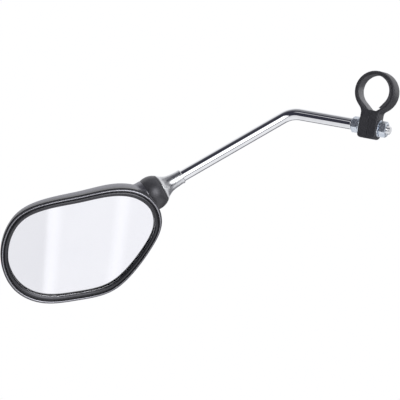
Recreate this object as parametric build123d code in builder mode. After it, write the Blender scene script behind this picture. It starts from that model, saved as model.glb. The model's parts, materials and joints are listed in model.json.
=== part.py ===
from build123d import *
import os
from math import asin, cos, degrees, radians, sin, tan

# Clamp-on handlebar mirror for the left side of a bicycle.
# Millimetres. +Z is up, the handlebar runs along Y through the origin, and the glass
# looks towards -Y, to the rider. The head hangs on the -X side of the clamp.

os.makedirs("parts", exist_ok=True)

# ---- driving dimensions -------------------------------------------------------------

BAR_R = 11.1            # 22.2 mm handlebar
BAND_MID = (0.6, -0.5)  # the band is drawn round this point, so the liner is thicker outboard
BAND_INNER_R = 12.45
BAND_T = 2.05           # plastic band outside the liner
BAND_W = 12.0           # band width along the bar
BAND_LEGS = (43.0, 52.0)    # half angles of the inboard and outboard legs below the bar
LINER_LEGS = (50.0, 36.0)   # the same for the inside of the rubber liner
LINER_TIP = 11.2        # bar centre to the free end of the liner
EAR_TOP = 13.4          # bar centre to the place where the two ears meet
EAR_BOTTOM = 33.1       # bar centre to the end of the ears
EARS_T = 13.3           # both ears together, along the rod
EAR_ROOT = 12.0         # bar centre to the place where the ears start inside the band
EAR_CORNER = 2.5        # rounding of the ears' lower corners
NECK_FILLETS = (6.0, 3.0)   # inboard and outboard fillets between leg and ear
SLIT = 0.4              # gap left between the ears
SLIP = 0.05             # radial gap between pieces that are pushed together
RUNNING = 0.08          # radial gap of a shaft that turns

ROD_DROP = 25.0         # bar centre to the axis of the rod's threaded end
ROD_SLOPE = 11.0        # the threaded end slopes down by this angle
ROD_R = 4.0             # 8 mm rod
BEND_R = 15.0           # centre-line radius of the bend
BEND_OUT = 58.4         # rod crossing under the bar, out to the corner of the bend
ARM_LENGTH = 112.1      # corner of the bend to the centre of the ball
ARM_RISE = 30.2         # the long leg rises by this angle from ball to bend
ARM_YAW = 26.7          # and turns away from the rider by this one

M6_R = 3.0
M6_NUT_FLATS = 10.0
M6_NUT_H = 5.0
NUT_CHAMFER = 0.06      # of the width across flats
WASHER_R = 6.0
WASHER_T = 1.0
THREAD_OUT = 8.5        # threaded tip beyond the ears
SHOULDER_GAP = 0.4      # thread showing between nut and rod shoulder
NUT_GAP = 0.05          # nut face to washer face
TIP_CHAMFER = 0.6

BALL_R = 12.1
BALL_FRONT = 7.4        # ball centre to its flat face, where the collar sits
BALL_BACK = 9.5         # ball centre to its flat back
CUP_R = 12.35           # socket surface in the housing
CUP_T = 1.0
CUP_HOLE_R = 6.6        # lets the threaded stem swing
LIP = 3.3               # ball centre back to the lip of the socket
OPEN_R = 17.0           # the housing is cut away this far round the ball in front of the lip
STEM_R = 2.0            # M4 stem on the inner end of the rod
STEM_TOP = 1.0          # where the 8 mm rod is turned down, in front of the ball centre
STEM_END = -20.9
M4_NUT_FLATS = 7.0
M4_NUT_H = 3.2
LAYER_GAP = 0.25        # between the nested spherical washers
FRICTION_T = 0.75
FRICTION_HOLE_R = 5.4
FRICTION_RIM_R = 7.8
PRESSURE_T = 0.8
PRESSURE_RIM_R = 7.0
SPRING_T = 0.5
SPRING_R = 4.4
SPRING_RISE = 1.1

COLLAR_LENGTH = 16.5
COLLAR_FLANGE_R = 9.35
COLLAR_FLARE = [(9.35, 0.5), (7.2, 3.0), (5.9, 5.6), (5.2, 9.0), (4.8, 15.5)]   # radius, height
COLLAR_END_R = 4.5
PIN_R = 1.0
PIN_OUT = 0.6           # the pin stands out of the rod by this on the far side
PIN_SHORT = 0.5         # and ends this far inside it on the near side
PIN_AT = 19.0           # ball centre to the collar's spring pin

BALL_IN_HEAD = (55.0, 22.0, -18.0)   # ball centre seen from the middle of the glass rim
HEAD_YAW = 28.0
HEAD_TILT = 20.5
HEAD_ROLL = 10.0

OUTLINE_MID = (1.0, -3.1)
OUTLINE_HALF = (57.0, 37.9)
OUTLINE = [
    (-56.3, -4), (-53, 11.5), (-42.5, 26), (-22, 32.8), (5, 34.2),
    (31, 34.8), (46, 30), (56, 18.5), (57.3, 4), (48.5, -11.5),
    (33, -28), (18, -38), (-8, -41), (-33, -38.5), (-49, -27.5),
]

BEZEL_DEPTH = 5.0
BEZEL_EDGE = 5.3        # width of the rim seen from the front
BEZEL_ROUND = 1.8
GLASS_INSET = 4.4
GLASS_SLACK = 0.3       # room round the glass in the bezel
GLASS_TOP = 1.6         # rim front to the crown of the glass
GLASS_R = 1000.0        # convex glass
GLASS_T = 2.0
COATING_T = 0.1
FOAM_T = 1.0
FOAM_INSET = 6.0
CARRIER_T = 1.6
CARRIER_INSET = 9.0
CARRIER_HOLE = (37.0, 16.0)     # opening in the carrier for the ball joint
CARRIER_HOLE_R = 12.0
JOINT_CLEARANCE = 1.0   # foam and carrier keep this far from the joint's layers
LAYER_REACH = 12.0      # deeper than any layer under the rim
SHELL_T = 2.0
SHELL_STEP = 1.0        # the cavity starts this far in front of the shell's edge
SHELL_SECTIONS = [      # depth behind the rim, inset, lean, drift towards the socket
    (BEZEL_DEPTH, 0.4, 0.0, 0.0),
    (13.0, 2.0, 3.0, 1.3),
    (19.0, 6.0, 7.0, 2.0),
    (23.5, 15.0, 9.5, 3.0),
]
SCREW_R = 1.3
SCREW_HEAD_R = 2.6
SCREW_HEAD_H = 1.3
SCREW_LENGTH = 6.5
SCREW_SINK = 0.1        # heads lie just under the carrier's face
BOSS_TOP = 7.2
BOSS_R = 3.0
SCREW_SPOTS = [(-38, 6), (-22, -26), (12, -26), (6, 22)]
BULGE = [(11.7, -LIP), (11.8, -8), (13, -12), (13, -16)]    # radius and place along the arm
BULGE_SHOULDER = (9.0, -24.8)
BULGE_END = -28.0
WASHER_SWING = 48.0     # the washers' outer edges reach this angle from the stem
WASHER_ROOM = 0.3       # gap outside the outermost washer
NUT_ROOM_R = 9.0        # bore behind the washers for spring and nut
NUT_ROOM = (-13.0, 9.5)     # where it starts along the arm, and its length
THROUGH = 30.0          # long enough to cut right through any piece


# ---- shared frames ------------------------------------------------------------------

rod_axis = Vector(cos(radians(ROD_SLOPE)), 0, -sin(radians(ROD_SLOPE)))
clamp_face = Plane(origin=(0, 0, 0), x_dir=rod_axis, z_dir=(0, -1, 0))
rod_cross = clamp_face.from_local_coords(Vector(0, -ROD_DROP, 0))
bend_corner = rod_cross - rod_axis * BEND_OUT

arm_axis = Vector(
    cos(radians(ARM_RISE)) * cos(radians(ARM_YAW)),
    cos(radians(ARM_RISE)) * sin(radians(ARM_YAW)),
    sin(radians(ARM_RISE)),
)
arm_side = Vector(-sin(radians(ARM_YAW)), cos(radians(ARM_YAW)), 0)
ball_centre = bend_corner - arm_axis * ARM_LENGTH
ball_axis = Axis(ball_centre, arm_axis)
ball_section = Plane(origin=ball_centre, x_dir=arm_side, z_dir=arm_side.cross(arm_axis))

head_normal = Vector(0, -1, 0).rotate(Axis.X, HEAD_TILT).rotate(Axis.Z, HEAD_YAW)
head_across = Vector(1, 0, 0).rotate(Axis.Z, HEAD_YAW).rotate(Axis((0, 0, 0), head_normal), HEAD_ROLL)
head_up = head_normal.cross(head_across)
head_centre = (
    ball_centre
    - head_across * BALL_IN_HEAD[0]
    - head_up * BALL_IN_HEAD[1]
    - head_normal * BALL_IN_HEAD[2]
)
head_face = Plane(origin=head_centre, x_dir=head_across, z_dir=head_normal)


def on_rod(along):
    """Plane across the threaded end, at a distance from the middle of the ears."""
    return Plane(origin=rod_cross + rod_axis * along, x_dir=(0, 1, 0), z_dir=rod_axis)


def on_arm(along):
    """Plane across the long leg, at a distance from the ball centre towards the bend."""
    return Plane(origin=ball_centre + arm_axis * along, x_dir=arm_side, z_dir=arm_axis)


def in_shell(depth, lean):
    """Plane behind the glass rim, leaning so that the socket side lies deeper."""
    across = head_across * cos(radians(lean)) - head_normal * sin(radians(lean))
    facing = head_normal * cos(radians(lean)) + head_across * sin(radians(lean))
    return Plane(origin=head_centre - head_normal * depth, x_dir=across, z_dir=facing)


def outline_points(inset, drift=0.0):
    """The rim's outline drawn in by a margin, and moved towards the socket's corner."""
    scale_x = (OUTLINE_HALF[0] - inset) / OUTLINE_HALF[0]
    scale_y = (OUTLINE_HALF[1] - inset) / OUTLINE_HALF[1]
    mid_x, mid_y = OUTLINE_MID
    return [
        (mid_x + drift + (x - mid_x) * scale_x, mid_y + drift + (y - mid_y) * scale_y)
        for x, y in OUTLINE
    ]


def pear(radius, floor, legs, middle=(0, 0)):
    """Closed pear: a circle with a tangent leg on each side, cut off level below it."""
    x, y = middle
    left, right = radians(legs[0]), radians(legs[1])
    left_floor = (radius / sin(left) - floor - y) * tan(left)
    right_floor = (radius / sin(right) - floor - y) * tan(right)
    with BuildSketch() as shape:
        with Locations(middle):
            Circle(radius)
        with BuildLine():
            Polyline(
                (x + radius * cos(right), y - radius * sin(right)),
                (x + right_floor, -floor),
                (x - left_floor, -floor),
                (x - radius * cos(left), y - radius * sin(left)),
                close=True,
            )
        make_face()
    return shape.sketch


def hex_nut(plane, flats, height, bore_r):
    """Hexagon nut with chamfered corners, standing on a plane."""
    corner_r = flats / 2 / cos(radians(30))
    with BuildPart() as turned:
        with BuildSketch(plane):
            Circle(corner_r)
        extrude(amount=height)
        chamfer(turned.edges(), NUT_CHAMFER * flats)
    with BuildPart() as nut:
        with BuildSketch(plane):
            RegularPolygon(corner_r, 6)
            Circle(bore_r, mode=Mode.SUBTRACT)
        extrude(amount=height)
        add(turned.part, mode=Mode.INTERSECT)
    return nut.part


def cap_ring(inner_r, outer_r, from_angle, to_angle):
    """Ring cut from a spherical shell round the ball, on the side away from the arm."""
    with BuildPart() as ring:
        with BuildSketch(ball_section):
            with BuildLine():
                inner = CenterArc((0, 0), inner_r, from_angle - 90, to_angle - from_angle)
                outer = CenterArc((0, 0), outer_r, from_angle - 90, to_angle - from_angle)
                Line(inner @ 0, outer @ 0)
                Line(inner @ 1, outer @ 1)
            make_face()
        revolve(axis=ball_axis)
    return ring.part


def ball_of(radius):
    """Solid ball round the centre of the ball joint."""
    with BuildPart(on_arm(0)) as ball:
        Sphere(radius)
    return ball.part


def rim_slab(inset, depth):
    """Slab with the rim's outline drawn in by a margin, from the front of the rim backwards."""
    with BuildPart() as slab:
        with BuildSketch(head_face):
            with BuildLine():
                Spline(*outline_points(inset), periodic=True)
            make_face()
        extrude(amount=-depth)
    return slab.part


def glass_layer(inset, top, thickness):
    """Slice of a convex layer under the rim; all layers share the glass's centre of curvature."""
    with BuildPart() as dome:
        with Locations(head_centre - head_normal * (GLASS_R + GLASS_TOP)):
            Sphere(GLASS_R + GLASS_TOP - top)
            Sphere(GLASS_R + GLASS_TOP - top - thickness, mode=Mode.SUBTRACT)
    with BuildPart() as layer:
        add(rim_slab(inset, LAYER_REACH))
        add(dome.part, mode=Mode.INTERSECT)
    return layer.part


def finish(part, label):
    """Name a finished piece and write it out."""
    part.label = label
    export_step(part, f"parts/{label}.step")


# ---- clamp --------------------------------------------------------------------------

ear_half = EARS_T / 2
band_outside = pear(BAND_INNER_R + BAND_T, EAR_TOP + BAND_T, BAND_LEGS, BAND_MID)
band_inside = pear(BAND_INNER_R, EAR_TOP, BAND_LEGS, BAND_MID)
liner_outside = pear(BAND_INNER_R - SLIP, EAR_TOP - SLIP, BAND_LEGS, BAND_MID)
liner_inside = pear(BAR_R, EAR_TOP, LINER_LEGS)

with BuildPart() as clamp_band:
    with BuildSketch(clamp_face) as band_profile:
        add(band_outside)
        with Locations((0, -(EAR_ROOT + EAR_BOTTOM) / 2)):
            Rectangle(EARS_T, EAR_BOTTOM - EAR_ROOT)
        corners = band_profile.vertices().filter_by(lambda v: abs(abs(v.X) - ear_half) < 0.01)
        fillet(corners.filter_by(lambda v: v.Y < -EAR_BOTTOM + 1), EAR_CORNER)
        necks = corners.filter_by(lambda v: v.Y > -EAR_BOTTOM + 1).sort_by(Axis.X)
        fillet(necks[0], NECK_FILLETS[0])
        fillet(necks[1], NECK_FILLETS[1])
        add(band_inside, mode=Mode.SUBTRACT)
        with Locations((0, -EAR_BOTTOM)):
            Rectangle(SLIT, 2 * (EAR_BOTTOM - EAR_TOP) + 1, mode=Mode.SUBTRACT)
    extrude(amount=BAND_W / 2, both=True)
    with BuildSketch(on_rod(0)):
        Circle(M6_R + RUNNING)
    extrude(amount=EARS_T, both=True, mode=Mode.SUBTRACT)
finish(clamp_band.part, "clamp_band")

with BuildPart() as clamp_liner:
    with BuildSketch(clamp_face):
        add(liner_outside)
        add(liner_inside, mode=Mode.SUBTRACT)
        with Locations((0, -LINER_TIP)):
            Rectangle(BAR_R, EAR_TOP, align=(Align.MIN, Align.MAX), mode=Mode.SUBTRACT)
    extrude(amount=BAND_W / 2, both=True)
finish(clamp_liner.part, "clamp_liner")


def washer(plane):
    """Plain M6 washer lying on a plane."""
    with BuildPart() as ring:
        with BuildSketch(plane):
            Circle(WASHER_R)
            Circle(M6_R + RUNNING, mode=Mode.SUBTRACT)
        extrude(amount=WASHER_T)
    return ring.part


nut_start = ear_half + WASHER_T + NUT_GAP
finish(washer(on_rod(-ear_half - WASHER_T)), "inner_washer")
finish(washer(on_rod(ear_half)), "outer_washer")

# ---- arm ----------------------------------------------------------------------------

finish(hex_nut(on_rod(-nut_start - M6_NUT_H), M6_NUT_FLATS, M6_NUT_H, M6_R + SLIP), "inner_nut")
finish(hex_nut(on_rod(nut_start), M6_NUT_FLATS, M6_NUT_H, M6_R + SLIP), "outer_nut")

shoulder = nut_start + M6_NUT_H + SHOULDER_GAP
thread_tip = ear_half + THREAD_OUT

with BuildPart() as arm_rod:
    with BuildLine():
        FilletPolyline(
            rod_cross - rod_axis * shoulder,
            bend_corner,
            ball_centre + arm_axis * STEM_TOP,
            radius=BEND_R,
        )
    with BuildSketch(on_rod(-shoulder)):
        Circle(ROD_R)
    sweep()
    with BuildSketch(on_rod(-shoulder)):
        Circle(M6_R)
    extrude(amount=shoulder + thread_tip)
    chamfer(arm_rod.faces().sort_by(Axis((0, 0, 0), rod_axis))[-1].edges(), TIP_CHAMFER)
    with BuildSketch(on_arm(STEM_END)):
        Circle(STEM_R)
    extrude(amount=STEM_TOP - STEM_END)
    with BuildSketch(Plane(origin=on_arm(PIN_AT).origin, x_dir=arm_axis, z_dir=arm_side)):
        Circle(PIN_R + SLIP)
    extrude(amount=ROD_R + 1, both=True, mode=Mode.SUBTRACT)
finish(arm_rod.part, "arm_rod")

with BuildPart() as arm_collar:
    with BuildSketch(ball_section):
        with BuildLine():
            base = BALL_FRONT
            top = BALL_FRONT + COLLAR_LENGTH
            bore = ROD_R + SLIP
            flare = Spline(*[(radius, base + height) for radius, height in COLLAR_FLARE])
            Polyline(
                flare @ 0,
                (COLLAR_FLANGE_R, base),
                (bore, base),
                (bore, top),
                (COLLAR_END_R, top),
                flare @ 1,
            )
        make_face()
    revolve(axis=ball_axis)
    with BuildSketch(Plane(origin=on_arm(PIN_AT).origin, x_dir=arm_axis, z_dir=arm_side)):
        Circle(PIN_R + SLIP)
    extrude(amount=2 * ROD_R, mode=Mode.SUBTRACT)
finish(arm_collar.part, "arm_collar")

with BuildPart() as collar_pin:
    with BuildSketch(Plane(origin=on_arm(PIN_AT).origin, x_dir=arm_axis, z_dir=arm_side)):
        Circle(PIN_R)
    extrude(amount=ROD_R + PIN_OUT)
    extrude(to_extrude=collar_pin.faces().sort_by(Axis((0, 0, 0), arm_side))[0], amount=ROD_R - PIN_SHORT)
finish(collar_pin.part, "collar_pin")

with BuildPart(on_arm(0)) as swivel_ball:
    Sphere(BALL_R)
    split(bisect_by=on_arm(BALL_FRONT), keep=Keep.BOTTOM)
    split(bisect_by=on_arm(-BALL_BACK), keep=Keep.TOP)
    with BuildSketch(on_arm(STEM_TOP - SLIP)):
        Circle(ROD_R + SLIP)
    extrude(amount=BALL_R, mode=Mode.SUBTRACT)
    with BuildSketch(on_arm(0)):
        Circle(STEM_R + SLIP)
    extrude(amount=BALL_R, both=True, mode=Mode.SUBTRACT)
finish(swivel_ball.part, "swivel_ball")

# ---- ball joint inside the head -----------------------------------------------------

cup_outer_r = CUP_R + CUP_T
friction_r = cup_outer_r + LAYER_GAP
pressure_r = friction_r + FRICTION_T + LAYER_GAP
spring_base = pressure_r + PRESSURE_T + LAYER_GAP
friction_hole = degrees(asin(FRICTION_HOLE_R / friction_r))
friction_rim = degrees(asin(FRICTION_RIM_R / friction_r))
pressure_hole = degrees(asin((STEM_R + RUNNING) / pressure_r))
pressure_rim = degrees(asin(PRESSURE_RIM_R / pressure_r))

finish(cap_ring(friction_r, friction_r + FRICTION_T, friction_hole, friction_rim), "friction_washer")
finish(cap_ring(pressure_r, pressure_r + PRESSURE_T, pressure_hole, pressure_rim), "pressure_washer")

with BuildPart() as disc_spring:
    with BuildSketch(ball_section):
        with BuildLine():
            Polyline(
                (STEM_R + SLIP, -spring_base - SPRING_RISE),
                (SPRING_R, -spring_base),
                (SPRING_R, -spring_base - SPRING_T),
                (STEM_R + SLIP, -spring_base - SPRING_RISE - SPRING_T),
                close=True,
            )
        make_face()
    revolve(axis=ball_axis)
finish(disc_spring.part, "disc_spring")

nut_face = -spring_base - SPRING_RISE - SPRING_T - NUT_GAP
finish(hex_nut(on_arm(nut_face - M4_NUT_H), M4_NUT_FLATS, M4_NUT_H, STEM_R + SLIP), "stem_nut")

# ---- head ---------------------------------------------------------------------------

with BuildPart() as shell_cavity:
    for depth, inset, lean, drift in SHELL_SECTIONS:
        with BuildSketch(in_shell(depth - (SHELL_T if lean else SHELL_STEP), lean)):
            with BuildLine():
                Spline(*outline_points(inset + SHELL_T, drift), periodic=True)
            make_face()
    loft()
    add(ball_of(cup_outer_r), mode=Mode.SUBTRACT)
    add(cap_ring(cup_outer_r, spring_base + WASHER_ROOM, 0.0, WASHER_SWING))
    with BuildSketch(on_arm(NUT_ROOM[0])):
        Circle(NUT_ROOM_R)
    extrude(amount=-NUT_ROOM[1])
    with BuildSketch(head_face.offset(-BOSS_TOP)):
        with Locations(*SCREW_SPOTS):
            Circle(BOSS_R)
    extrude(amount=-THROUGH, mode=Mode.SUBTRACT)

with BuildPart() as housing_shell:
    for depth, inset, lean, drift in SHELL_SECTIONS:
        with BuildSketch(in_shell(depth, lean)):
            with BuildLine():
                Spline(*outline_points(inset, drift), periodic=True)
            make_face()
    loft()
    with BuildSketch(ball_section):
        with BuildLine():
            Polyline((0, BULGE_END), (0, -LIP), *BULGE)
            ThreePointArc(BULGE[-1], BULGE_SHOULDER, (0, BULGE_END))
        make_face()
    revolve(axis=ball_axis)
    split(bisect_by=head_face.offset(-BEZEL_DEPTH), keep=Keep.BOTTOM)
    add(shell_cavity.part, mode=Mode.SUBTRACT)
    with BuildSketch(head_face.offset(-BOSS_TOP)):
        with Locations(*SCREW_SPOTS):
            Circle(SCREW_R + SLIP)
    extrude(amount=-SCREW_LENGTH, mode=Mode.SUBTRACT)
    add(ball_of(CUP_R), mode=Mode.SUBTRACT)
    with BuildSketch(on_arm(0)):
        Circle(CUP_HOLE_R)
    extrude(amount=-cup_outer_r, mode=Mode.SUBTRACT)
    with BuildSketch(on_arm(-LIP)):
        Circle(OPEN_R)
    extrude(amount=THROUGH, mode=Mode.SUBTRACT)
finish(housing_shell.part, "housing_shell")

with BuildPart() as glass_bezel:
    add(rim_slab(0, BEZEL_DEPTH))
    add(rim_slab(BEZEL_EDGE, BEZEL_DEPTH), mode=Mode.SUBTRACT)
    add(glass_layer(GLASS_INSET - GLASS_SLACK, GLASS_TOP, LAYER_REACH), mode=Mode.SUBTRACT)
    rim = glass_bezel.faces().sort_by(Axis((0, 0, 0), head_normal))[-1]
    fillet(rim.outer_wire().edges(), BEZEL_ROUND)
finish(glass_bezel.part, "glass_bezel")

coating_top = GLASS_TOP + GLASS_T
foam_top = coating_top + COATING_T
carrier_top = foam_top + FOAM_T
joint_room = ball_of(spring_base + JOINT_CLEARANCE)

finish(glass_layer(GLASS_INSET, GLASS_TOP, GLASS_T), "mirror_glass")
finish(glass_layer(GLASS_INSET, coating_top, COATING_T), "mirror_coating")

with BuildPart() as foam_pad:
    add(glass_layer(FOAM_INSET, foam_top, FOAM_T))
    add(joint_room, mode=Mode.SUBTRACT)
finish(foam_pad.part, "foam_pad")


def screws(slack):
    """The countersunk screws, or with some slack the holes for them."""
    with BuildPart() as group:
        for x, y in SCREW_SPOTS:
            sag = (x * x + y * y) / (2 * GLASS_R)
            top = head_face.offset(-carrier_top - sag - SCREW_SINK).from_local_coords(Vector(x, y, 0))
            with Locations(Plane(origin=top, x_dir=head_across, z_dir=head_normal)):
                Cone(
                    SCREW_R + slack,
                    SCREW_HEAD_R + slack,
                    SCREW_HEAD_H,
                    align=(Align.CENTER, Align.CENTER, Align.MAX),
                )
                Cylinder(
                    SCREW_R + slack,
                    SCREW_LENGTH,
                    align=(Align.CENTER, Align.CENTER, Align.MAX),
                )
    return group.part


finish(screws(0.0), "carrier_screws")

with BuildPart() as glass_carrier:
    add(glass_layer(CARRIER_INSET, carrier_top, CARRIER_T))
    add(joint_room, mode=Mode.SUBTRACT)
    with BuildSketch(head_face.offset(-carrier_top)):
        with Locations(CARRIER_HOLE):
            Circle(CARRIER_HOLE_R)
    extrude(amount=2 * CARRIER_T, both=True, mode=Mode.SUBTRACT)
    add(screws(SLIP), mode=Mode.SUBTRACT)
finish(glass_carrier.part, "glass_carrier")
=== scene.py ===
import json
import math

import bmesh
import bpy
import numpy as np
from mathutils import Matrix, Vector


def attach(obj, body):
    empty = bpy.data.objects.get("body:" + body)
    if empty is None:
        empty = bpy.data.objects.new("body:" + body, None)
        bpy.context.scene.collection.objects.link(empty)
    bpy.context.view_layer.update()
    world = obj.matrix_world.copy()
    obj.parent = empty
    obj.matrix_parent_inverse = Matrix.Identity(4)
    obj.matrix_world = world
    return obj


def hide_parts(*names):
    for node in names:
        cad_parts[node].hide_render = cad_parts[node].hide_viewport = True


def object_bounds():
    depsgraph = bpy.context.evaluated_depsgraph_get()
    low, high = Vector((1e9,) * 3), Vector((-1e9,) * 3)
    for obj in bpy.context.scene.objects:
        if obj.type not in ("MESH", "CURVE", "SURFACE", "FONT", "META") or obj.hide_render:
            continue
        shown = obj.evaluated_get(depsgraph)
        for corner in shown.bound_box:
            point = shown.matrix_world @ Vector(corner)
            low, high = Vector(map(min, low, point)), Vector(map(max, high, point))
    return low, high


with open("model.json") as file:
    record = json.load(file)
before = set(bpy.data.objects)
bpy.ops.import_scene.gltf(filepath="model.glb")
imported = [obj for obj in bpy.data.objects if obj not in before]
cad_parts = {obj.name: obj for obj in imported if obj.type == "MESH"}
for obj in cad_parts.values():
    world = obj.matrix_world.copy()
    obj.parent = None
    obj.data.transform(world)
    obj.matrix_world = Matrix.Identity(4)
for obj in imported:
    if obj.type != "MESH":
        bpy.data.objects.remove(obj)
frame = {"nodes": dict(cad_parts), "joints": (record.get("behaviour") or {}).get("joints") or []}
cad_low, cad_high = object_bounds()
nodes = frame["nodes"]
joints = {j["name"]: j for j in frame["joints"]}

# Bicycle handlebar mirror. Lengths are in millimetres until a mesh is made.

MM = 0.001

# ---- the dimensions that the detailed pieces share with the CAD model -----------------

FIT = 0.05      # gap round a piece that fits closely in or on another

BAR_R = 11.1
BAND_MID = (0.6, -0.5)
BAND_INNER_R = 12.45
BAND_T = 2.05
BAND_W = 12.0
BAND_LEGS = (math.radians(43.0), math.radians(52.0))
LINER_LEGS = (math.radians(50.0), math.radians(36.0))
LINER_TIP = 11.2
NECK_FILLETS = (6.0, 3.0)
EAR_CORNER = 2.5
EAR_TOP = 13.4
EAR_BOTTOM = 33.1
EARS_T = 13.3
SLIT = 0.12
BAND_EDGE = 0.2
BAND_ROUND = 0.9
LINER_EDGE = 0.16
LINER_W = 11.5

WASHER_R = 6.0
WASHER_BORE = 3.08
WASHER_T = 1.0
NUT_GAP = 0.05
NUT_FLATS = 10.0
NUT_H = 5.0
NUT_BORE = 3.05
NUT_TURN = 0.35     # how far the nuts are turned about the rod, in radians
M6_R = 3.0
M6_CORE = 2.5
PITCH = 1.0
THREAD_OUT = 8.5
SHOULDER_GAP = 0.4
TIP_CHAMFER = 0.6

ROD_R = 4.0
BEND_R = 15.0
STEM_R = 2.0
STEM_TOP = 1.0
STEM_END = -20.9

BALL_R = 12.1
BALL_FRONT = 7.4
BALL_BACK = -9.5
COLLAR_LENGTH = 16.5
COLLAR_FLANGE_R = 9.35
COLLAR_NECK_R = 4.8
COLLAR_RING_R = 4.95
# place along the arm from the centre of the ball, and radius there
COLLAR_FLARE = [(8.0, 9.0), (9.0, 8.1), (10.4, 7.2), (13.0, 5.95), (16.4, 5.25), (21.9, COLLAR_NECK_R)]

BALL_IN_HEAD = (55.0, 22.0, -18.0)
HEAD_YAW = 28.0
HEAD_TILT = 20.5
HEAD_ROLL = 10.0
OUTLINE_MID = np.array((1.0, -3.1))
OUTLINE_HALF = np.array((57.0, 37.9))
OUTLINE = np.array([
    (-56.3, -4), (-53, 11.5), (-42.5, 26), (-22, 32.8), (5, 34.2),
    (31, 34.8), (46, 30), (56, 18.5), (57.3, 4), (48.5, -11.5),
    (33, -28), (18, -38), (-8, -41), (-33, -38.5), (-49, -27.5),
])
BEZEL_DEPTH = 5.0
BEZEL_BORE = 4.12    # inset of the opening that holds the glass
BEZEL_LIP = 5.25    # inset of the edge that shows round the glass
BEAD_R = 0.42
BEAD_INSET = 1.35
BEAD_DEPTH = 0.64
GLASS_INSET = 4.4
GLASS_TOP = 1.6
GLASS_R = 1000.0
GLASS_T = 2.0
COATING_T = 0.1


def unit(v):
    return np.asarray(v, float) / np.linalg.norm(v)


def turned(v, axis, angle):
    """Vector v turned about an axis by an angle in degrees."""
    return np.array(Matrix.Rotation(math.radians(angle), 3, Vector(axis)) @ Vector(v))


rod_cross = np.array(joints["arm_swivel"]["pos_m"]) / MM
rod_axis = unit(joints["arm_swivel"]["axis"])
ball_centre = np.array(joints["head_spin"]["pos_m"]) / MM
arm_axis = unit(joints["head_spin"]["axis"])
arm_side = unit(np.cross((0, 0, 1), arm_axis))

head_normal = turned(turned((0, -1, 0), (1, 0, 0), HEAD_TILT), (0, 0, 1), HEAD_YAW)
head_across = turned(turned((1, 0, 0), (0, 0, 1), HEAD_YAW), head_normal, HEAD_ROLL)
head_up = np.cross(head_normal, head_across)
head_centre = (
    ball_centre
    - head_across * BALL_IN_HEAD[0]
    - head_up * BALL_IN_HEAD[1]
    - head_normal * BALL_IN_HEAD[2]
)

# ---- meshes ---------------------------------------------------------------------------


def skin(rings, wrap=False):
    """Vertices and faces of a skin over closed rings, capped at both ends unless it wraps."""
    rings = np.asarray(rings, float)
    count, size = rings.shape[:2]
    faces = []
    for i in range(count if wrap else count - 1):
        a, b = i * size, (i + 1) % count * size
        for j in range(size):
            k = (j + 1) % size
            faces.append((a + j, a + k, b + k, b + j))
    if not wrap:
        faces.append(tuple(reversed(range(size))))
        faces.append(tuple(range((count - 1) * size, count * size)))
    return rings.reshape(-1, 3), faces


def piece(name, body, material, replaced, shells, sharp=34.0):
    """One object from closed skins, riding on a body in place of CAD nodes."""
    points, faces = [], []
    for shell_points, shell_faces in shells:
        start = sum(len(p) for p in points)
        points.append(shell_points)
        faces += [tuple(start + i for i in f) for f in shell_faces]
    mesh = bpy.data.meshes.new(name)
    mesh.from_pydata((np.vstack(points) * MM).tolist(), [], faces)
    work = bmesh.new()
    work.from_mesh(mesh)
    bmesh.ops.recalc_face_normals(work, faces=work.faces)
    work.to_mesh(mesh)
    work.free()
    mesh.shade_smooth()
    mesh.set_sharp_from_angle(angle=math.radians(sharp))
    obj = bpy.data.objects.new(name, mesh)
    bpy.context.scene.collection.objects.link(obj)
    mesh.materials.append(material)
    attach(obj, body)
    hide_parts(*replaced)


def rounded(corners, closed=True, steps=4, hold=0.1):
    """Line through corners (x, y, radius), with the corners rounded off."""
    out = []
    count = len(corners)
    for i, (x, y, radius) in enumerate(corners):
        p = np.array((x, y), float)
        if radius == 0 or (not closed and i in (0, count - 1)):
            out.append(p)
            continue
        before = unit(np.array(corners[i - 1][:2]) - p)
        after = unit(np.array(corners[(i + 1) % count][:2]) - p)
        half = math.acos(np.clip(before @ after, -1, 1)) / 2
        reach = radius / math.tan(half)
        centre = p + unit(before + after) * radius / math.sin(half)
        first, last = p + before * reach - centre, p + after * reach - centre
        span = math.pi - 2 * half
        out.append(centre + first + before * hold)
        for t in np.linspace(0, 1, steps + 1):
            arm = math.sin((1 - t) * span) * first + math.sin(t * span) * last
            out.append(centre + arm / math.sin(span))
        out.append(centre + last + after * hold)
    return np.array(out)


def arc(radius, start, end, steps):
    """Points (x, y, 0) of an arc about the origin, from one angle in radians to another."""
    return [(radius * math.cos(a), radius * math.sin(a), 0) for a in np.linspace(start, end, steps)]


def drawn_in(outline, amount):
    """Counter-clockwise closed outline moved inwards."""
    before = outline - np.roll(outline, 1, axis=0)
    before /= np.linalg.norm(before, axis=1)[:, None]
    after = np.roll(before, -1, axis=0)
    first = np.stack((-before[:, 1], before[:, 0]), 1)
    second = np.stack((-after[:, 1], after[:, 0]), 1)
    share = 1 + (first * second).sum(1)
    return outline + amount * (first + second) / share[:, None]


def slab(outline, width, edge, steps=5, hold=0.12):
    """Outline in the clamp's face given a width along the bar, with rounded edges."""
    half = width / 2
    edge = np.broadcast_to(edge, len(outline))[:, None]
    levels = [(edge + hold, half)]
    for angle in np.linspace(0, math.pi / 2, steps + 1):
        levels.append((edge * (1 - math.sin(angle)), half - edge * (1 - math.cos(angle))))
    levels += [(inset, -z) for inset, z in reversed(levels)]
    across, up = rod_axis, np.cross((0, -1, 0), rod_axis)
    rings = []
    for inset, z in levels:
        flat = drawn_in(outline, inset)
        rings.append(flat[:, :1] * across + flat[:, 1:] * up + np.array((0, -1, 0)) * z)
    return skin(rings)


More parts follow.
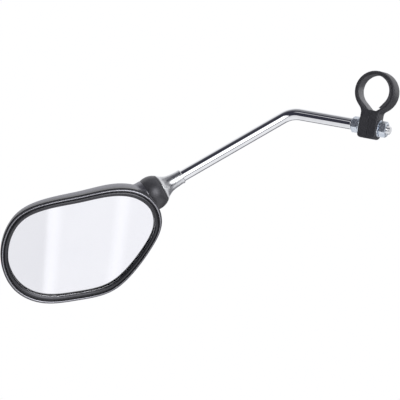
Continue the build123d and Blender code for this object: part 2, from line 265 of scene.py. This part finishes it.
def lathe(profile, origin, axis, side, steps=96):
    """Profile of (place along the axis, radius) turned about the axis."""
    other = np.cross(axis, side)
    angles = np.linspace(0, 2 * math.pi, steps, endpoint=False)
    spokes = np.cos(angles)[:, None] * side + np.sin(angles)[:, None] * other
    return skin([origin + axis * along + spokes * radius for along, radius in profile], wrap=True)


def hex_nut(origin, axis, side, start, flats, height, bore, chamfer=0.5):
    """Chamfered hexagon nut with countersunk bore, as one closed skin."""
    corner = flats / 2 / math.cos(math.pi / 6)
    hexagon = rounded(
        [(corner * math.cos(a), corner * math.sin(a), 0.35) for a in np.arange(6) * math.pi / 3],
        steps=3,
        hold=0.4,
    )
    middle = (hexagon + np.roll(hexagon, -1, axis=0)) / 2
    hexagon = np.stack((hexagon, middle), 1).reshape(-1, 2)
    reach = np.linalg.norm(hexagon, axis=1)
    spokes = hexagon / reach[:, None]
    spokes = spokes[:, :1] * side + spokes[:, 1:] * np.cross(axis, side)
    face_r = flats / 2 * 0.95
    drop = (reach - face_r) * math.tan(math.radians(30))
    soft = 0.12
    levels = [
        (bore, chamfer), (bore + chamfer, 0.0), (face_r - soft, 0.0), (face_r, 0.02),
        (reach - soft, drop), (reach, drop + soft),
    ]
    levels += [(radius, height - z) for radius, z in reversed(levels)]
    rings = []
    for radius, z in levels:
        radius = np.broadcast_to(radius, reach.shape)[:, None]
        z = np.broadcast_to(z, reach.shape)[:, None]
        rings.append(origin + axis * (start + z) + spokes * radius)
    return skin(rings, wrap=True)


# ---- materials ------------------------------------------------------------------------


class Shader:
    """A principled material whose colour, roughness and relief come from noise."""

    def __init__(self, name, metallic=0.0, specular=0.5):
        self.material = bpy.data.materials.new(name)
        self.material.use_nodes = True
        self.tree = self.material.node_tree
        self.bsdf = self.tree.nodes["Principled BSDF"]
        self.bsdf.inputs["Metallic"].default_value = metallic
        self.bsdf.inputs["Specular IOR Level"].default_value = specular
        self.place = self.tree.nodes.new("ShaderNodeTexCoord").outputs["Object"]
        self.height = None

    def link(self, output, target):
        self.tree.links.new(output, target)

    def noise(self, size, detail=3.0):
        """Noise with features of a size in millimetres."""
        mapping = self.tree.nodes.new("ShaderNodeMapping")
        mapping.inputs["Scale"].default_value = (1 / (size * MM),) * 3
        self.link(self.place, mapping.inputs["Vector"])
        texture = self.tree.nodes.new("ShaderNodeTexNoise")
        texture.inputs["Scale"].default_value = 1.0
        texture.inputs["Detail"].default_value = detail
        self.link(mapping.outputs["Vector"], texture.inputs["Vector"])
        return texture.outputs["Fac"]

    def cells(self, size):
        """Cell pattern with cells of a size in millimetres."""
        texture = self.tree.nodes.new("ShaderNodeTexVoronoi")
        texture.inputs["Scale"].default_value = 1 / (size * MM)
        self.link(self.place, texture.inputs["Vector"])
        return texture.outputs["Distance"]

    def spread(self, value, low, high, start=0.3, end=0.7):
        """A value's range from start to end, spread over low to high."""
        node = self.tree.nodes.new("ShaderNodeMapRange")
        for socket, number in zip(("From Min", "From Max", "To Min", "To Max"), (start, end, low, high)):
            node.inputs[socket].default_value = number
        self.link(value, node.inputs["Value"])
        return node.outputs["Result"]

    def colour(self, value, dark, light):
        node = self.tree.nodes.new("ShaderNodeMix")
        node.data_type = "RGBA"
        node.inputs["A"].default_value = (*dark, 1)
        node.inputs["B"].default_value = (*light, 1)
        self.link(self.spread(value, 0, 1), node.inputs["Factor"])
        self.link(node.outputs["Result"], self.bsdf.inputs["Base Color"])

    def roughness(self, value, low, high):
        self.link(self.spread(value, low, high), self.bsdf.inputs["Roughness"])

    def bump(self, value, depth):
        """Relief of a depth in millimetres, laid over any relief given before."""
        node = self.tree.nodes.new("ShaderNodeBump")
        node.inputs["Strength"].default_value = 1.0
        node.inputs["Distance"].default_value = depth * MM
        self.link(value, node.inputs["Height"])
        if self.height is not None:
            self.link(self.height, node.inputs["Normal"])
        self.height = node.outputs["Normal"]
        self.link(self.height, self.bsdf.inputs["Normal"])


SHEEN = (0.92, 0.92, 1.0, 1)    # cool tint of the gloss on plastic


def plastic(name, dark, light, low, high, grain, relief, specular=0.5, ior=1.5):
    """Moulded plastic or rubber: slightly clouded tone and sheen, with a fine leather grain."""
    shader = Shader(name, specular=specular)
    shader.bsdf.inputs["IOR"].default_value = ior
    shader.bsdf.inputs["Specular Tint"].default_value = SHEEN
    shader.colour(shader.noise(4.0), dark, light)
    shader.roughness(shader.noise(1.6), low, high)
    shader.bump(shader.cells(grain), relief)
    shader.bump(shader.noise(grain * 0.4), relief * 0.4)
    return shader.material


def metal(name, dark, light, low, high, cloud, pits):
    """Plated or polished metal: cloudy tone and sheen, with small pits."""
    shader = Shader(name, metallic=1.0)
    shader.colour(shader.noise(cloud), dark, light)
    shader.roughness(shader.noise(cloud * 0.3, detail=5.0), low, high)
    shader.bump(shader.noise(0.35, detail=4.0), pits)
    return shader.material


band_black = plastic(
    "band_black", (0.030, 0.030, 0.034), (0.042, 0.042, 0.046), 0.40, 0.5,
    grain=0.35, relief=0.003,
)
shell_black = plastic(
    "shell_black", (0.024, 0.024, 0.027), (0.034, 0.034, 0.038), 0.28, 0.36,
    grain=0.4, relief=0.003, specular=1.0, ior=2.3,
)
bezel_black = plastic(
    "bezel_black", (0.018, 0.018, 0.02), (0.026, 0.026, 0.029), 0.18, 0.24,
    grain=0.35, relief=0.0001, specular=0.7,
)
bead_black = plastic(
    "bead_black", (0.03, 0.03, 0.033), (0.045, 0.045, 0.05), 0.20, 0.26,
    grain=0.8, relief=0.0001, specular=1.0, ior=2.8,
)
ball_black = plastic(
    "ball_black", (0.028, 0.028, 0.031), (0.038, 0.038, 0.042), 0.36, 0.44,
    grain=0.3, relief=0.002, ior=1.75,
)
carrier_grey = plastic(
    "carrier_grey", (0.02, 0.02, 0.022), (0.035, 0.035, 0.037), 0.45, 0.6,
    grain=0.5, relief=0.01,
)
rubber = plastic(
    "rubber", (0.05, 0.05, 0.054), (0.075, 0.075, 0.08), 0.34, 0.42,
    grain=0.22, relief=0.002, specular=0.85,
)
foam = plastic(
    "foam", (0.05, 0.05, 0.055), (0.11, 0.11, 0.115), 0.85, 0.95,
    grain=0.5, relief=0.12,
)
chrome = metal(
    "chrome", (0.80, 0.81, 0.83), (0.88, 0.89, 0.91), 0.035, 0.075, cloud=6.0, pits=0.0003,
)
zinc = metal("zinc", (0.62, 0.68, 0.76), (0.80, 0.84, 0.90), 0.34, 0.46, cloud=2.0, pits=0.001)
nickel = metal("nickel", (0.70, 0.71, 0.73), (0.80, 0.81, 0.83), 0.28, 0.36, cloud=3.0, pits=0.001)
spring_steel = metal(
    "spring_steel", (0.30, 0.30, 0.32), (0.46, 0.46, 0.48), 0.25, 0.4, cloud=2.0, pits=0.002,
)


def clear_glass():
    """Clear float glass with a faint cloud in its tint and a trace of dust in its gloss."""
    shader = Shader("clear_glass")
    shader.bsdf.inputs["IOR"].default_value = 1.5
    shader.bsdf.inputs["Transmission Weight"].default_value = 1.0
    shader.colour(shader.noise(30.0), (0.985, 0.984, 0.994), (0.995, 0.994, 1.0))
    shader.roughness(shader.noise(8.0, detail=5.0), 0.0, 0.012)
    return shader.material


def silvering():
    """Bright silver film on the back of the glass, a little cloudy."""
    shader = Shader("silvering", metallic=1.0)
    shader.colour(shader.noise(25.0), (0.96, 0.966, 0.988), (0.975, 0.981, 1.0))
    shader.roughness(shader.noise(12.0), 0.004, 0.02)
    return shader.material


glass_clear = clear_glass()
silver_film = silvering()

# ---- clamp ----------------------------------------------------------------------------


def leg_at(radius, angle, middle, level):
    """How far out from its circle's middle a tangent leg is, at a level below the bar."""
    return (radius / math.sin(angle) - level - middle[1]) * math.tan(angle)


def round_top(radius, legs, middle, steps=120):
    """The circle of a pear from its outboard leg over the top to its inboard leg."""
    return [
        (middle[0] + x, middle[1] + y, 0)
        for x, y, _ in arc(radius, -legs[1], math.pi + legs[0], steps)
    ]


ear_half = EARS_T / 2
band_outer = BAND_INNER_R + BAND_T
neck = [    # depth below the bar at which each leg runs into the side of its ear
    band_outer / math.sin(leg) - BAND_MID[1] - (ear_half - side * BAND_MID[0]) / math.tan(leg)
    for leg, side in zip(BAND_LEGS, (-1, 1))
]
floor_left = BAND_MID[0] - leg_at(BAND_INNER_R, BAND_LEGS[0], BAND_MID, EAR_TOP)
floor_right = BAND_MID[0] + leg_at(BAND_INNER_R, BAND_LEGS[1], BAND_MID, EAR_TOP)
band_outline = rounded(
    [(SLIT / 2, -EAR_BOTTOM, 0), (ear_half, -EAR_BOTTOM, EAR_CORNER), (ear_half, -neck[1], NECK_FILLETS[1])]
    + round_top(band_outer, BAND_LEGS, BAND_MID)
    + [(-ear_half, -neck[0], NECK_FILLETS[0]), (-ear_half, -EAR_BOTTOM, EAR_CORNER)]
    + [(-SLIT / 2, -EAR_BOTTOM, 0), (-SLIT / 2, -EAR_TOP, 0), (floor_left, -EAR_TOP, 0)]
    + round_top(BAND_INNER_R, BAND_LEGS, BAND_MID)[::-1]
    + [(floor_right, -EAR_TOP, 0), (SLIT / 2, -EAR_TOP, 0)],
    steps=8,
)
from_mid = np.linalg.norm(band_outline - BAND_MID, axis=1)
outside = (from_mid > BAND_INNER_R + BAND_T / 2) & (np.abs(band_outline[:, 0]) > SLIT)
piece("clamp_band_moulding", "clamp", band_black, ["clamp_band"], [
    slab(band_outline, BAND_W, np.where(outside, BAND_ROUND, BAND_EDGE)),
])

liner_outer = BAND_INNER_R - FIT
liner_floor = EAR_TOP - FIT
liner_outline = rounded(
    [(BAND_MID[0] + leg_at(liner_outer, BAND_LEGS[1], BAND_MID, LINER_TIP), -LINER_TIP, 0)]
    + round_top(liner_outer, BAND_LEGS, BAND_MID)
    + [(BAND_MID[0] - leg_at(liner_outer, BAND_LEGS[0], BAND_MID, liner_floor), -liner_floor, 0)]
    + [(-leg_at(BAR_R, LINER_LEGS[0], (0, 0), liner_floor), -liner_floor, 0)]
    + round_top(BAR_R, LINER_LEGS, (0, 0))[::-1]
    + [(leg_at(BAR_R, LINER_LEGS[1], (0, 0), LINER_TIP), -LINER_TIP, 0)]
)
piece("rubber_liner", "clamp", rubber, ["clamp_liner"], [
    slab(liner_outline, LINER_W, LINER_EDGE, hold=0.04),
])

bar_side = np.array((0.0, 1.0, 0.0))


def washer(start):
    """Plain washer with soft edges, from a place along the rod."""
    profile = rounded([
        (start, WASHER_BORE, 0.15),
        (start, WASHER_R, 0.2),
        (start + WASHER_T, WASHER_R, 0.2),
        (start + WASHER_T, WASHER_BORE, 0.15),
    ], hold=0.05)
    return lathe(profile, rod_cross, rod_axis, bar_side)


piece("washer_inner", "clamp", zinc, ["inner_washer"], [washer(-ear_half - WASHER_T)])
piece("washer_outer", "clamp", zinc, ["outer_washer"], [washer(ear_half)])

# ---- arm ------------------------------------------------------------------------------

nut_start = ear_half + WASHER_T + NUT_GAP
nut_side = unit((0.0, math.cos(NUT_TURN), math.sin(NUT_TURN)))
nut_side = unit(nut_side - rod_axis * (nut_side @ rod_axis))
for name, node, start in (
    ("hex_nut_inner", "inner_nut", -nut_start - NUT_H),
    ("hex_nut_outer", "outer_nut", nut_start),
):
    piece(name, "arm", zinc, [node], [
        hex_nut(rod_cross, rod_axis, nut_side, start, NUT_FLATS, NUT_H, NUT_BORE),
    ], sharp=20.0)

shoulder = nut_start + NUT_H + SHOULDER_GAP
thread_tip = ear_half + THREAD_OUT


def meeting(p, d, q, e):
    """Point where two lines meet, each given by a point and a direction."""
    s, _ = np.linalg.lstsq(np.stack((d, -e), 1), q - p, rcond=None)[0]
    return p + d * s


bend_corner = meeting(rod_cross, rod_axis, ball_centre, arm_axis)


def rod_rings(steps=96):
    """Rings of the bent rod, from the threaded tip to the end of the M4 stem."""
    first, last = -rod_axis, -arm_axis
    side = unit(np.cross(first, last))
    turn = math.acos(first @ last)
    reach = BEND_R * math.tan(turn / 2)
    out_to_bend = np.linalg.norm(bend_corner - rod_cross) - reach
    angles = np.linspace(0, 2 * math.pi, steps, endpoint=False)

    def ring(point, along, radius):
        spokes = np.cos(angles)[:, None] * side + np.sin(angles)[:, None] * np.cross(along, side)
        return point + spokes * np.broadcast_to(radius, angles.shape)[:, None]

    def thread(place):
        # straight flanks, with a flat root and a flat crest of a tenth of the pitch each
        phase = (-place / PITCH - angles / (2 * math.pi)) % 1.0
        flank = np.clip(np.abs(2 * phase - 1) * 1.25 - 0.125, 0, 1)
        crest = M6_CORE + (M6_R - FIT - M6_CORE) * flank
        return np.minimum(crest, M6_R - TIP_CHAMFER + thread_tip - place)

    profile = [(place, thread(place)) for place in np.linspace(thread_tip, nut_start + NUT_H - 0.6, 27)]
    profile += [(nut_start, M6_CORE), (-nut_start - NUT_H + 0.6, M6_CORE)]
    profile += [(place, thread(place)) for place in np.linspace(-nut_start - NUT_H + 0.5, -shoulder, 9)]
    profile += [(-shoulder, ROD_R - 0.4), (-shoulder - 0.05, ROD_R - 0.2), (-shoulder - 0.2, ROD_R - 0.05)]
    profile += [(-shoulder - 0.4, ROD_R), (-shoulder - 0.6, ROD_R)]
    rings = [ring(rod_cross + rod_axis * place, first, radius) for place, radius in profile]
    start = rod_cross + first * out_to_bend
    for share in np.linspace(0, 1, 33):
        angle = share * turn
        along = turned(first, side, math.degrees(angle))
        inward = np.cross(side, first)
        centre = start + inward * BEND_R
        point = centre - np.cross(side, along) * BEND_R
        rings.append(ring(point, along, ROD_R))
    for place, radius in (
        (STEM_TOP + 0.4, ROD_R), (STEM_TOP, ROD_R - 0.4), (STEM_TOP, STEM_R),
        (STEM_END + 0.4, STEM_R), (STEM_END, STEM_R - 0.4),
    ):
        rings.append(ring(ball_centre + arm_axis * place, last, radius))
    return rings


piece("bent_rod", "arm", chrome, ["arm_rod"], [skin(rod_rings())])


def smooth_line(points, per_span):
    """Smooth open line through points (Catmull-Rom)."""
    p = np.array(points, float)
    p = np.vstack((2 * p[0] - p[1], p, 2 * p[-1] - p[-2]))
    out = []
    for i in range(1, len(p) - 2):
        for t in np.linspace(0, 1, per_span, endpoint=False):
            a, b, c, d = p[i - 1], p[i], p[i + 1], p[i + 2]
            square = 2 * a - 5 * b + 4 * c - d
            cube = 3 * b - a - 3 * c + d
            out.append(0.5 * (2 * b + (c - a) * t + square * t**2 + cube * t**3))
    out.append(p[-2])
    return out


bore, stem_bore = ROD_R + FIT, STEM_R + FIT
collar_end = BALL_FRONT + COLLAR_LENGTH
collar_profile = np.vstack((
    rounded([
        (collar_end - 1.0, bore, 0), (BALL_FRONT, bore, 0), (BALL_FRONT, COLLAR_FLANGE_R, 0.15),
        (BALL_FRONT + 0.45, COLLAR_FLANGE_R, 0.2), (BALL_FRONT + 0.55, COLLAR_FLANGE_R - 0.3, 0),
    ], closed=False, hold=0.03),
    smooth_line(COLLAR_FLARE, per_span=6),
    rounded([
        (22.3, COLLAR_NECK_R, 0), (22.5, COLLAR_RING_R, 0.1), (23.4, COLLAR_RING_R, 0.3),
        (collar_end, COLLAR_RING_R - 0.4, 0.2), (collar_end, bore, 0),
    ], closed=False, hold=0.03),
))
piece("collar_turned", "arm", nickel, ["arm_collar"], [
    lathe(collar_profile, ball_centre, arm_axis, arm_side),
])


def on_ball(along):
    return math.sqrt(BALL_R**2 - along**2)


# The ball's front edge is soft, with a fine groove just behind it.
front_r = on_ball(BALL_FRONT)
ball_profile = [(BALL_FRONT, bore), (BALL_FRONT, front_r - 0.2), (BALL_FRONT - 0.03, front_r - 0.08)]
for behind, sunk in ((0.14, 0.0), (0.6, 0.0), (0.85, 0.02), (1.0, 0.25), (1.2, 0.25), (1.35, 0.02)):
    ball_profile.append((BALL_FRONT - behind, on_ball(BALL_FRONT - behind) - sunk))
ball_profile += [(x, on_ball(x)) for x in np.linspace(BALL_FRONT - 1.6, BALL_BACK + 0.3, 40)]
ball_profile += [(BALL_BACK, on_ball(BALL_BACK) - 0.3), (BALL_BACK, stem_bore)]
ball_profile += [(STEM_TOP - FIT, stem_bore), (STEM_TOP - FIT, bore)]
piece("ball_moulding", "arm", ball_black, ["swivel_ball"], [
    lathe(ball_profile, ball_centre, arm_axis, arm_side, steps=128),
], sharp=40.0)

# ---- head -----------------------------------------------------------------------------


def closed_spline(points, per_span=20):
    """Smooth closed line through points."""
    p = np.asarray(points, float)
    count = len(p)
    chord = np.linalg.norm(np.roll(p, -1, axis=0) - p, axis=1)
    matrix, right = np.zeros((count, count)), np.zeros((count, 2))
    for i in range(count):
        h0, h1 = chord[i - 1], chord[i]
        matrix[i, i - 1] += h1
        matrix[i, i] += 2 * (h0 + h1)
        matrix[i, (i + 1) % count] += h0
        right[i] = 3 * (h1 / h0 * (p[i] - p[i - 1]) + h0 / h1 * (p[(i + 1) % count] - p[i]))
    slope = np.linalg.solve(matrix, right)
    out = []
    for i in range(count):
        k, h = (i + 1) % count, chord[i]
        for t in np.linspace(0, 1, per_span, endpoint=False):
            a, b = 2 * t**3 - 3 * t**2 + 1, t**3 - 2 * t**2 + t
            c, d = -2 * t**3 + 3 * t**2, t**3 - t**2
            out.append(a * p[i] + b * h * slope[i] + c * p[k] + d * h * slope[k])
    return np.array(out)


rim_line = closed_spline(OUTLINE)


def in_head(flat, depth):
    """Points of the head's plane at a depth behind the front of the rim."""
    depth = np.broadcast_to(depth, len(flat))[:, None]
    return head_centre + flat[:, :1] * head_across + flat[:, 1:] * head_up - depth * head_normal


def rim_at(inset, scale=1.0):
    return OUTLINE_MID + (rim_line - OUTLINE_MID) * (OUTLINE_HALF - inset) / OUTLINE_HALF * scale


def sag(flat):
    return (flat**2).sum(1) / (2 * GLASS_R)


BEZEL_PROFILE = rounded([       # inset, depth and corner radius, from the back edge over the front
    (0.35, BEZEL_DEPTH, 0), (0.05, BEZEL_DEPTH - 0.35, 0), (0.05, 1.6, 0.4), (0.7, 0.85, 0.2),
    (1.6, 0.8, 0.1), (2.15, 1.5, 0.15), (2.5, 1.25, 0.15), (2.9, 0.55, 0.4), (3.6, 0.3, 0.9),
    (4.4, 0.5, 0.9), (BEZEL_LIP, 1.0, 0),
], closed=False, hold=0.02)
bezel_rings = [in_head(rim_at(inset), depth) for inset, depth in BEZEL_PROFILE]
# The underside of the lip lies just over the glass and follows its curve.
for inset, below in ((BEZEL_LIP + 0.05, -0.12), (BEZEL_LIP, -0.02), (BEZEL_BORE, -0.02)):
    flat = rim_at(inset)
    bezel_rings.append(in_head(flat, GLASS_TOP + sag(flat) + below))
for inset, depth in ((BEZEL_BORE, BEZEL_DEPTH - 0.2), (BEZEL_BORE + 0.18, BEZEL_DEPTH)):
    bezel_rings.append(in_head(rim_at(inset), depth))
piece("bezel_moulding", "head", bezel_black, ["glass_bezel"], [
    skin(bezel_rings, wrap=True),
])

bead_rings = [
    in_head(rim_at(BEAD_INSET + BEAD_R * math.cos(a)), BEAD_DEPTH + BEAD_R * math.sin(a))
    for a in np.linspace(0, 2 * math.pi, 16, endpoint=False)
]
piece("bezel_bead", "head", bead_black, ["glass_bezel"], [skin(bead_rings, wrap=True)])


def layer(inset, top, thickness, steps=14):
    """Convex sheet under the rim."""
    rings = []
    outwards = np.linspace(0.02, 1, steps)
    for depth, shares in ((top, outwards), (top + thickness, outwards[::-1])):
        for share in shares:
            flat = rim_at(inset, share)
            rings.append(in_head(flat, depth + sag(flat)))
    return skin(rings)


piece("glass_sheet", "head", glass_clear, ["mirror_glass"], [
    layer(GLASS_INSET, GLASS_TOP, GLASS_T),
])
piece("silver_film", "head", silver_film, ["mirror_coating"], [
    layer(GLASS_INSET, GLASS_TOP + GLASS_T + 0.01, COATING_T - 0.01),
])

# These pieces keep their CAD shape and get a material.
for name, material in (
    ("housing_shell", shell_black), ("foam_pad", foam), ("glass_carrier", carrier_grey),
    ("carrier_screws", zinc), ("friction_washer", spring_steel), ("pressure_washer", spring_steel),
    ("disc_spring", spring_steel), ("stem_nut", zinc), ("collar_pin", spring_steel),
):
    mesh = nodes[name].data
    mesh.materials.clear()
    mesh.materials.append(material)

# ---- surroundings ---------------------------------------------------------------------


def build_world():
    """Studio light by direction. The camera itself sees plain white.

    Angles are in degrees. Azimuth 0 faces the front of the object and grows towards +X.
    """
    world = bpy.data.worlds.new("studio")
    bpy.context.scene.world = world
    world.use_nodes = True
    tree = world.node_tree
    background = tree.nodes["Background"]
    direction = tree.nodes.new("ShaderNodeTexCoord").outputs["Generated"]
    split = tree.nodes.new("ShaderNodeSeparateXYZ")
    tree.links.new(direction, split.inputs["Vector"])

    def put(value, socket):
        if isinstance(value, (int, float)):
            socket.default_value = value
        else:
            tree.links.new(value, socket)

    def calc(operation, *values):
        """A math node, or a chain of them where there are more than two values."""
        result = values[0]
        for value in values[1:] or (0.0,):
            node = tree.nodes.new("ShaderNodeMath")
            node.operation = operation
            put(result, node.inputs[0])
            put(value, node.inputs[1])
            result = node.outputs[0]
        return result

    def inverse(value):
        return calc("SUBTRACT", 1.0, value)

    def step(value, start, end):
        """0 below an angle, 1 above another, and soft between them."""
        node = tree.nodes.new("ShaderNodeMapRange")
        node.interpolation_type = "SMOOTHSTEP"
        put(value, node.inputs["Value"])
        node.inputs["From Min"].default_value = math.radians(start)
        node.inputs["From Max"].default_value = math.radians(end)
        return node.outputs["Result"]

    def ridge(value, centre, width):
        """1 at an angle, falling to 0 at a width on each side."""
        apart = calc("ABSOLUTE", calc("SUBTRACT", value, math.radians(centre)))
        return inverse(step(apart, 0, width))

    def window(value, low, high, soft):
        """1 between two angles and 0 outside them, with soft edges."""
        rise, fall = step(value, low - soft, low + soft), step(value, high - soft, high + soft)
        return calc("MULTIPLY", rise, inverse(fall))

    azimuth = calc("ARCTAN2", split.outputs["X"], calc("MULTIPLY", split.outputs["Y"], -1.0))
    elevation = calc("ARCSINE", split.outputs["Z"])

    # a pale wall behind the object, fading overhead, with a darker skirt below the horizon
    behind = step(calc("ABSOLUTE", azimuth), 84, 100)
    height = calc("SUBTRACT", 0.9, calc("MULTIPLY", step(elevation, 52, 80), 0.85))
    skirt = inverse(calc("MULTIPLY", window(elevation, -46, -4, 3), 0.8))
    wall = calc("MULTIPLY", behind, height, skirt)

    # a softbox to the right in front, hotter in its middle, and a strip high on the left
    hot = calc("MULTIPLY", window(azimuth, 28, 56, 6), window(elevation, -12, 20, 7))
    glow = calc("ADD", 1.05, calc("MULTIPLY", hot, 3.4))
    box = calc("MULTIPLY", window(azimuth, 19, 66, 2), window(elevation, -22.5, 32, 1), glow)
    strip = calc("MULTIPLY", window(azimuth, -52, -10, 3), window(elevation, 34, 42, 2), 0.8)

    # pale tables in front, reaching higher on the left, with two fine streaks on the right one
    rightwards = step(azimuth, 17, 21)
    right_table = calc("MULTIPLY", rightwards, inverse(step(elevation, -31.5, -30)))
    left_table = calc("MULTIPLY", inverse(rightwards), inverse(step(elevation, -26, -22)))
    ahead = inverse(step(calc("ABSOLUTE", azimuth), 120, 145))
    leaning = calc("ADD", azimuth, calc("MULTIPLY", calc("ADD", elevation, math.radians(37)), 0.06))
    streaks = calc("ADD", ridge(leaning, 33.8, 1.2), ridge(leaning, 40.8, 1.2))
    shade = calc("ADD", 0.845, calc("MULTIPLY", step(leaning, 32.8, 33.4), 0.09))
    table = calc(
        "MULTIPLY", calc("MAXIMUM", right_table, left_table), ahead,
        calc("ADD", shade, calc("MULTIPLY", streaks, 0.09)),
    )

    # a dim ceiling, and a bright floor straight below
    ceiling = calc("MULTIPLY", step(elevation, 60, 80), 0.25)
    floor = calc("MULTIPLY", inverse(step(elevation, -62, -48)), 0.95)

    # the brightest of them in each direction, over a faint fill, a little blue
    light = calc("MAXIMUM", wall, box, table, ceiling, floor, strip)
    light = calc("ADD", calc("MULTIPLY", light, 0.96), 0.04)
    path = tree.nodes.new("ShaderNodeLightPath")
    seen = calc("MAXIMUM", light, path.outputs["Is Camera Ray"])
    tint = tree.nodes.new("ShaderNodeCombineColor")
    put(seen, tint.inputs["Red"])
    put(seen, tint.inputs["Green"])
    put(calc("ADD", seen, 0.016), tint.inputs["Blue"])
    tree.links.new(tint.outputs["Color"], background.inputs["Color"])
    background.inputs["Strength"].default_value = 1.0


def area_light(name, place, aim, width, height, power):
    """Soft lamp at a place, facing another, that shows neither to the camera nor in gloss."""
    lamp = bpy.data.lights.new(name, "AREA")
    lamp.shape = "RECTANGLE"
    lamp.size = width
    lamp.size_y = height
    lamp.energy = power
    obj = bpy.data.objects.new(name, lamp)
    obj.location = place
    obj.rotation_mode = "QUATERNION"
    obj.rotation_quaternion = (Vector(aim) - Vector(place)).to_track_quat("-Z", "Y")
    obj.visible_camera = False
    obj.visible_glossy = False
    bpy.context.scene.collection.objects.link(obj)


FLOOR_R = 2500.0
FLOOR_TOP = -1700.0


def build_floor():
    """Plain pale floor, a broad disc below the object."""
    rings = []
    angles = np.linspace(0, 2 * math.pi, 96, endpoint=False)
    circle = np.stack((np.cos(angles), np.sin(angles), 0 * angles), 1)
    for radius, z in ((FLOOR_R, FLOOR_TOP - 8), (FLOOR_R, FLOOR_TOP - 4), (FLOOR_R - 4, FLOOR_TOP)):
        rings.append(circle * radius + np.array((-100, 0, z)))
    points, faces = skin(rings)
    mesh = bpy.data.meshes.new("floor")
    mesh.from_pydata((points * MM).tolist(), [], faces)
    shader = Shader("floor_paint")
    shader.colour(shader.noise(60.0), (0.80, 0.80, 0.80), (0.84, 0.84, 0.84))
    shader.roughness(shader.noise(20.0), 0.6, 0.75)
    mesh.materials.append(shader.material)
    floor = bpy.data.objects.new("floor", mesh)
    bpy.context.scene.collection.objects.link(floor)
    floor.visible_glossy = False
    floor.visible_transmission = False


build_world()
build_floor()
centre = (cad_low + cad_high) / 2
area_light("overhead", centre + Vector((0.1, -0.1, 0.9)), centre, 0.9, 0.9, 9.0)
area_light("side", centre + Vector((0.9, -0.5, 0.1)), centre, 0.6, 0.9, 2.0)

# ---- camera ---------------------------------------------------------------------------

VIEW_AZIMUTH = math.radians(20.0)
VIEW_ELEVATION = math.radians(-3.6)
LENS = 600.0
DISTANCE = 4.598
LOOK_AT = Vector((-0.116, -0.0372, -0.0748))

back = Vector((
    math.sin(VIEW_AZIMUTH) * math.cos(VIEW_ELEVATION),
    -math.cos(VIEW_AZIMUTH) * math.cos(VIEW_ELEVATION),
    math.sin(VIEW_ELEVATION),
))
camera_data = bpy.data.cameras.new("camera")
camera_data.lens = LENS
camera = bpy.data.objects.new("camera", camera_data)
bpy.context.scene.collection.objects.link(camera)
camera.location = LOOK_AT + back * DISTANCE
camera.rotation_mode = "QUATERNION"
camera.rotation_quaternion = (-back).to_track_quat("-Z", "Y")
bpy.context.scene.camera = camera
bpy.context.scene.view_settings.view_transform = "Standard"
